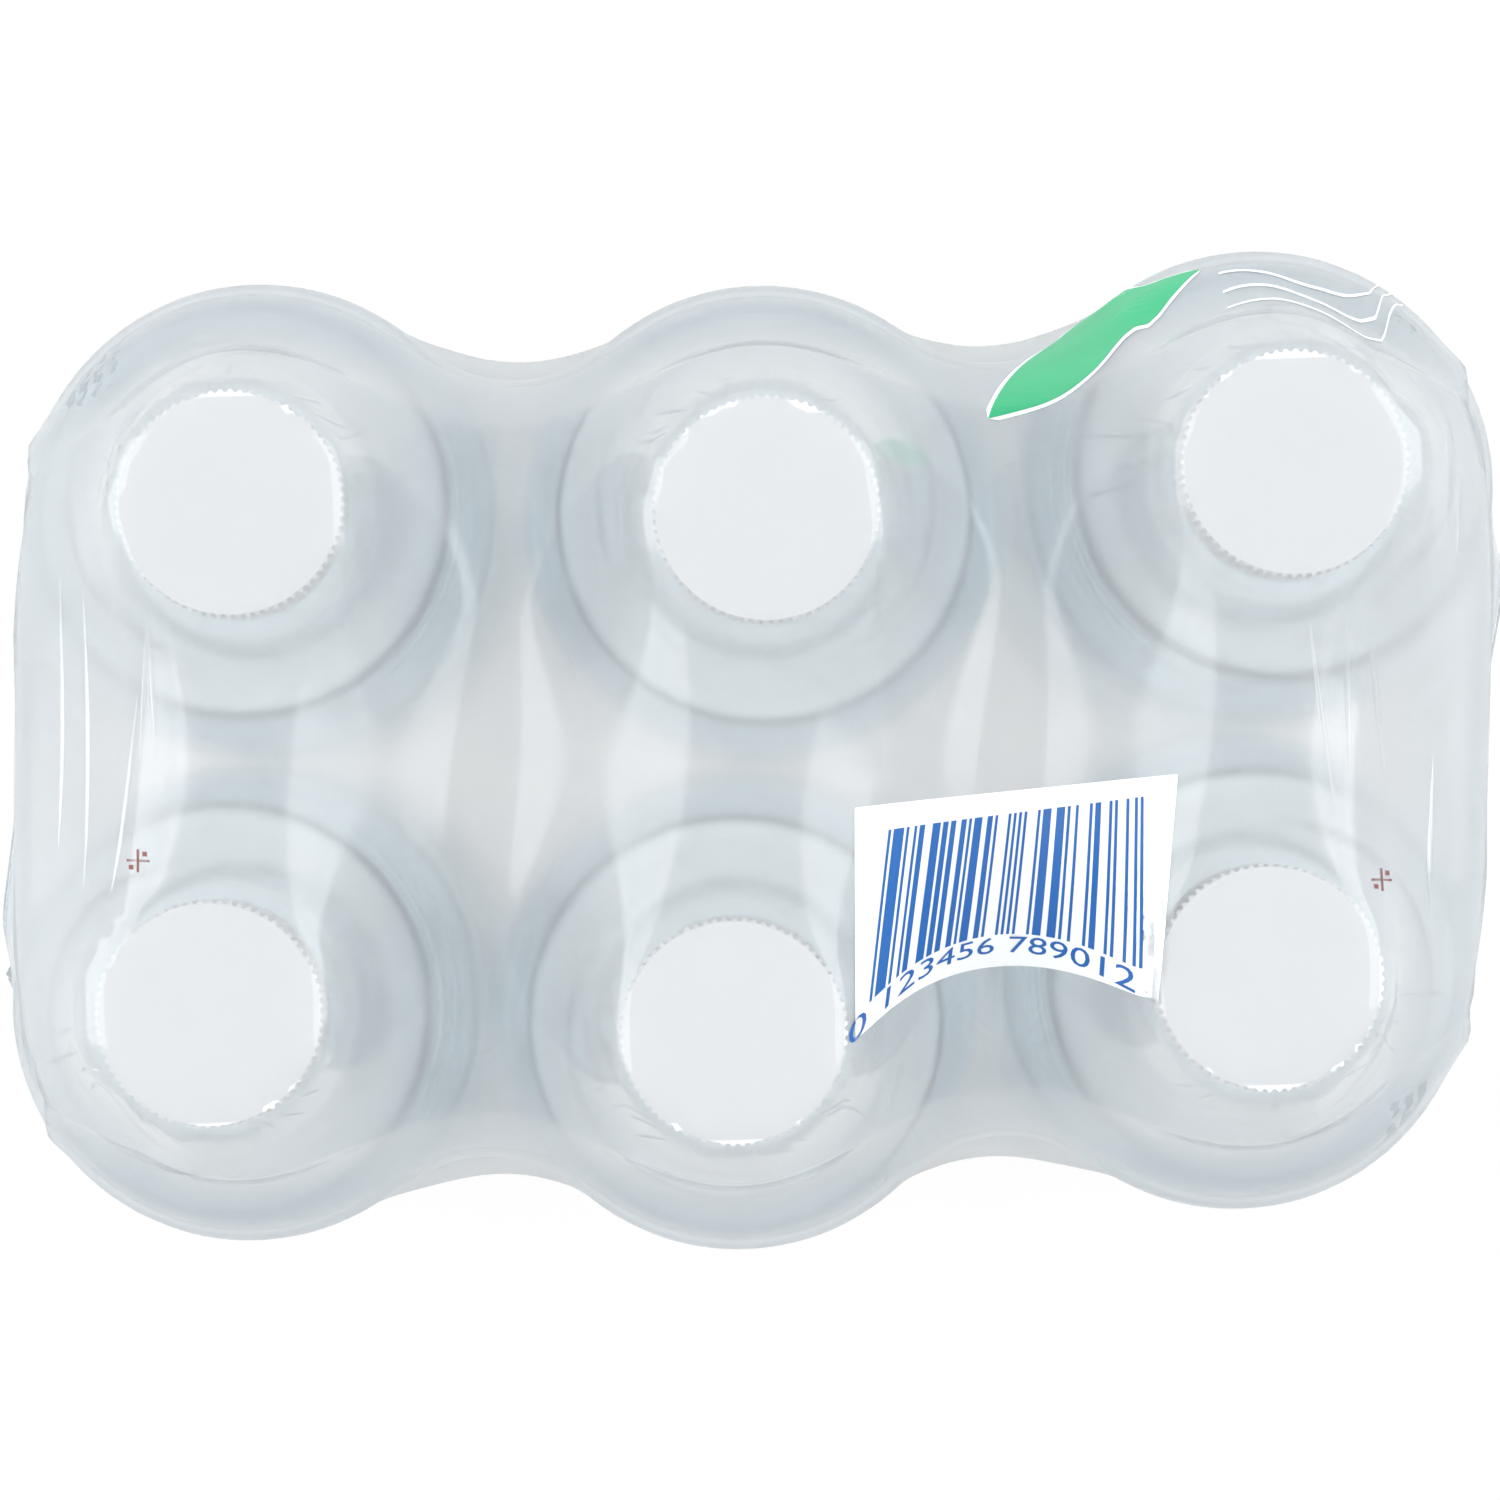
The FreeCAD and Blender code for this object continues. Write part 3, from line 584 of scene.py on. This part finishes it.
def facing_out(spots, ring):
    """The corners of a flat face, in the order that points it away from the film."""
    x, y = (np.array([spots[corner][axis] for corner in ring]) for axis in range(2))
    area = (x * np.roll(y, -1) - y * np.roll(x, -1)).sum()
    return ring if area > 0 else ring[::-1]


def inked(name, shapes, coating):
    """One piece of print from several flat shapes, laid on the film."""
    spots, faces = [], []
    for more, rings in shapes:
        faces += [[len(spots) + corner for corner in facing_out(more, ring)] for ring in rings]
        spots += more
    flat = bpy.data.meshes.new(name)
    flat.from_pydata([tuple(float(v) for v in spot) for spot in spots], [], faces)
    piece = grown(name, print_tree, flat, Film=film, Coat=coating)
    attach(piece, "root")


def ink(name, colour, other):
    """A matt ink that varies a little in depth between two colours."""
    made, tree = new_material(name)
    place = node(tree, "TexCoord")
    grain = node(tree, "TexNoise", Vector=place.outputs["Object"], Scale=120.0, Detail=2.0)
    tone = blend(tree, grain.outputs["Fac"], (0, colour), (1, other))
    dry = node(tree, "BsdfPrincipled", Base_Color=tone, Roughness=0.45)
    node(tree, "OutputMaterial", Surface=dry.outputs[0])
    return made


print_tree = laid_on_film()
white_ink = ink("white_ink", (0.78, 0.79, 0.80), (0.82, 0.83, 0.84))
blue_ink = ink("blue_ink", (0.002, 0.09, 0.33), (0.004, 0.11, 0.38))
green_ink = ink("green_ink", (0.003, 0.34, 0.13), (0.006, 0.42, 0.18))
mark_ink = ink("mark_ink", (0.16, 0.03, 0.03), (0.20, 0.05, 0.04))

downs = np.linspace(0, 1, 31)
panel = [strip([sagged(PANEL, a, down) for down in downs],
               [sagged(PANEL, a + 1 / 40, down) for down in downs], 1)
         for a in np.arange(40) / 40]
inked("barcode_panel", panel, white_ink)

# the code's bars: two for each of twelve digits, with two slim guard bars at each
# end and in the middle
draw = random.Random(12)
stripes = [(0, 1), (2, 1), (46, 1), (48, 1), (92, 1), (94, 1)]
for digit in range(12):
    first = (3 if digit < 6 else 50) + 7 * digit - (0 if digit < 6 else 42)
    cuts = sorted(draw.sample(range(1, 7), 3))
    stripes += [(first, cuts[0]), (first + cuts[1], cuts[2] - cuts[1])]
bars = [strip([sagged(BARS, start / MODULES, down) for down in downs],
              [sagged(BARS, (start + wide) / MODULES, down) for down in downs], 2)
        for start, wide in stripes]
row = bpy.data.objects.new("digits", bpy.data.curves.new("digits", "FONT"))
row.data.body = DIGITS
row.data.resolution_u = 3
scene.collection.objects.link(row)
written = bpy.data.meshes.new_from_object(row)
bpy.data.objects.remove(row)
letters = np.array([vertex.co[:2] for vertex in written.vertices])
letters = (letters - letters.min(0)) / np.ptp(letters, axis=0)
letters = [(*sagged(BARS, -0.07 + 1.05 * across, 1.02 + DIGIT_ROOM * (1 - up)), INK * 2)
           for across, up in letters]
bars.append((letters, [list(face.vertices) for face in written.polygons]))
inked("barcode_bars", bars, blue_ink)


def leaf(grow, layer):
    """The pointed leaf that runs over the back edge, wider all round by this much."""
    share = np.linspace(0, 1, len(LEAF_LEFT))
    fine = np.linspace(0, 1, 49)
    rows = []
    for edge in (LEAF_LEFT, LEAF_RIGHT):
        edge = np.array(edge)
        rows.append(np.column_stack([np.interp(fine, share, edge[:, k]) for k in range(2)]))
        for turn in range(12):
            rows[-1][1:-1] = (rows[-1][:-2] + rows[-1][1:-1] + rows[-1][2:]) / 3
    middle = (rows[0] + rows[1]) / 2
    half = rows[1] - middle
    width = np.linalg.norm(half, axis=1)[:, None]
    half = half + np.divide(half, width, out=np.zeros_like(half), where=width > 1e-6) * grow
    steps = np.linspace(-1, 1, 13)
    shapes = [strip(middle + half * a, middle + half * b, layer)
              for a, b in zip(steps[:-1], steps[1:])]
    return shapes


inked("leaf_keyline", leaf(KEYLINE, 1), white_ink)
inked("leaf", leaf(0, 2), green_ink)

# three thin white waves beside the leaf
waves = []
for place, phase in WAVES:
    along = np.linspace(0.063, 0.088, 41)
    crest = place + 0.003 * np.sin((along - 0.063) * 250 + phase)
    waves.append(strip(np.column_stack([along, crest]),
                       np.column_stack([along, crest + WAVE_WIDE]), 1))
inked("waves", waves, white_ink)

# a register mark at each end: a cross with a dot in two opposite corners
marks = []
for x, y in MARKS:
    for wide, high, dx, dy in ((0.0030, 0.0003, 0, 0), (0.0003, 0.0030, 0, 0),
                               (0.0006, 0.0006, 0.0009, 0.0009),
                               (0.0006, 0.0006, -0.0009, -0.0009)):
        ends = [(x + dx - wide / 2, y + dy + high * (k / 4 - 0.5)) for k in range(5)]
        marks.append(strip(ends, [(a + wide, b) for a, b in ends], 1))
inked("register_marks", marks, mark_ink)

# ---------------------------------------------------------------------------
# The creases in the film, where it shrank in folds: short ones that fan out from
# the caps, and long ones across both ends.
# ---------------------------------------------------------------------------

FANS = ((-0.0638, 0.0343, 92, 50), (0.0024, 0.0313, 100, 35), (0.0678, 0.0345, 125, 60),
        (-0.0685, -0.0287, 255, 60), (-0.0040, -0.0332, 265, 50), (0.0620, -0.0290, 290, 50))
LONG_CREASES = ((-0.0760, 0.010, 88, 0.026),
                (-0.0850, 0.006, 90, 0.040), (-0.0800, -0.004, 84, 0.030),
                (0.0718, 0.006, 91, 0.032), (0.0866, 0.030, 86, 0.018),
                (0.0790, 0.002, 97, 0.024), (0.0840, -0.016, 88, 0.022))
CREASE_WIDE = 0.0007
CREASE_HIGH = 0.0003

crease_tree, sizes = geometry_tree(
    "creases", Spots=("Geometry", None), Film=("Object", None), Coat=("Material", None),
    Wide=("Float", 0.0006), High=("Float", 0.0003))
ridge = node(crease_tree, "GeometryNodeMeshGrid", Size_X=1.0, Size_Y=1.0,
             Vertices_X=17, Vertices_Y=5)
flat = node(crease_tree, "SeparateXYZ",
            Vector=node(crease_tree, "GeometryNodeInputPosition").outputs[0])


def hump(socket):
    """1 in the middle of the ridge and 0 at its edge, along this axis."""
    square = node(crease_tree, "Math", {"operation": "MULTIPLY"}, _0=socket, _1=socket)
    found = node(crease_tree, "Math", {"operation": "MULTIPLY_ADD"}, _0=square.outputs[0],
                 _1=-4.0, _2=1.0)
    return found.outputs[0]


peak = node(crease_tree, "Math", {"operation": "MULTIPLY"},
            _0=hump(flat.outputs["X"]), _1=hump(flat.outputs["Y"]))
rise = node(crease_tree, "Math", {"operation": "MULTIPLY_ADD"}, _0=peak.outputs[0],
            _1=sizes.outputs["High"], _2=INK)
slim = node(crease_tree, "Math", {"operation": "MULTIPLY"}, _0=flat.outputs["Y"],
            _1=sizes.outputs["Wide"])
taper = node(crease_tree, "Math", {"operation": "MULTIPLY"}, _0=slim.outputs[0],
             _1=hump(flat.outputs["X"]))
shaped = node(crease_tree, "CombineXYZ", X=flat.outputs["X"], Y=taper.outputs[0],
              Z=rise.outputs[0])
folded = node(crease_tree, "GeometryNodeSetPosition", Geometry=ridge.outputs["Mesh"],
              Position=shaped.outputs[0])
turn = node(crease_tree, "GeometryNodeInputNamedAttribute", {"data_type": "FLOAT"}, Name="turn")
length = node(crease_tree, "GeometryNodeInputNamedAttribute", {"data_type": "FLOAT"},
              Name="length")
spin = node(crease_tree, "CombineXYZ", Z=turn.outputs[0])
stretch = node(crease_tree, "CombineXYZ", X=length.outputs[0], Y=1.0, Z=1.0)
set_out = node(crease_tree, "GeometryNodeInstanceOnPoints", Points=sizes.outputs["Spots"],
               Instance=folded.outputs[0])
crease_tree.links.new(spin.outputs[0], set_out.inputs["Rotation"])
crease_tree.links.new(stretch.outputs[0], set_out.inputs["Scale"])
loose = node(crease_tree, "GeometryNodeRealizeInstances", _0=set_out.outputs[0])
smooth = node(crease_tree, "GeometryNodeSetShadeSmooth", Geometry=loose.outputs[0])
laid = node(crease_tree, "GeometryNodeGroup", {"node_tree": print_tree},
            Shape=smooth.outputs[0], Film=sizes.outputs["Film"], Coat=sizes.outputs["Coat"])
finish_tree(crease_tree, laid.outputs[0], sizes.outputs["Coat"])

draw = random.Random(7)
spots, turns, lengths = [], [], []
for x, y, middle, spread in FANS:
    for k in range(11):
        angle = math.radians(middle + spread * (k / 5 - 1) + draw.uniform(-4, 4))
        long = draw.uniform(0.004, 0.010)
        away = 0.0150 + long / 2 + draw.uniform(0, 0.003)
        spots.append((x + away * math.cos(angle), y + away * math.sin(angle), 0))
        turns.append(angle)
        lengths.append(long)
for x, y, angle, long in LONG_CREASES:
    for k in range(2):
        spots.append((x + draw.uniform(-0.002, 0.002), y + draw.uniform(-0.004, 0.004), 0))
        turns.append(math.radians(angle + draw.uniform(-5, 5)))
        lengths.append(long * draw.uniform(0.5, 1.0))
seeds = bpy.data.meshes.new("crease_spots")
seeds.from_pydata(spots, [], [])
seeds.attributes.new("turn", "FLOAT", "POINT").data.foreach_set("value", turns)
seeds.attributes.new("length", "FLOAT", "POINT").data.foreach_set("value", lengths)

creased, tree = new_material("creased_film")
place = node(tree, "TexCoord")
cloud = node(tree, "TexNoise", Vector=place.outputs["Object"], Scale=80.0, Detail=2.0)
body = node(tree, "BsdfTranslucent", Color=(0.97, 0.98, 0.99, 1))
shine = node(tree, "BsdfGlossy", Color=(0.97, 0.98, 1.0, 1), Roughness=0.2)
lit = node(tree, "MixShader", _0=0.45, _1=body.outputs[0], _2=shine.outputs[0])
clear = node(tree, "BsdfTransparent", Color=(0.98, 0.985, 0.99, 1))
thin = node(tree, "MapRange", Value=cloud.outputs["Fac"], To_Min=0.60, To_Max=0.92)
both = node(tree, "MixShader", _0=thin.outputs[0], _1=lit.outputs[0], _2=clear.outputs[0])
node(tree, "OutputMaterial", Surface=both.outputs[0])
creases = grown("film_creases", crease_tree, seeds, Film=film, Coat=creased,
                Wide=CREASE_WIDE, High=CREASE_HIGH)
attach(creases, "root")

# the film gets its wall last, so that the print and the creases lie on one sheet
solid = film.modifiers.new("wall", "SOLIDIFY")
solid.thickness = FILM_WALL
solid.offset = -1
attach(film, "root")
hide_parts("film_wrap")
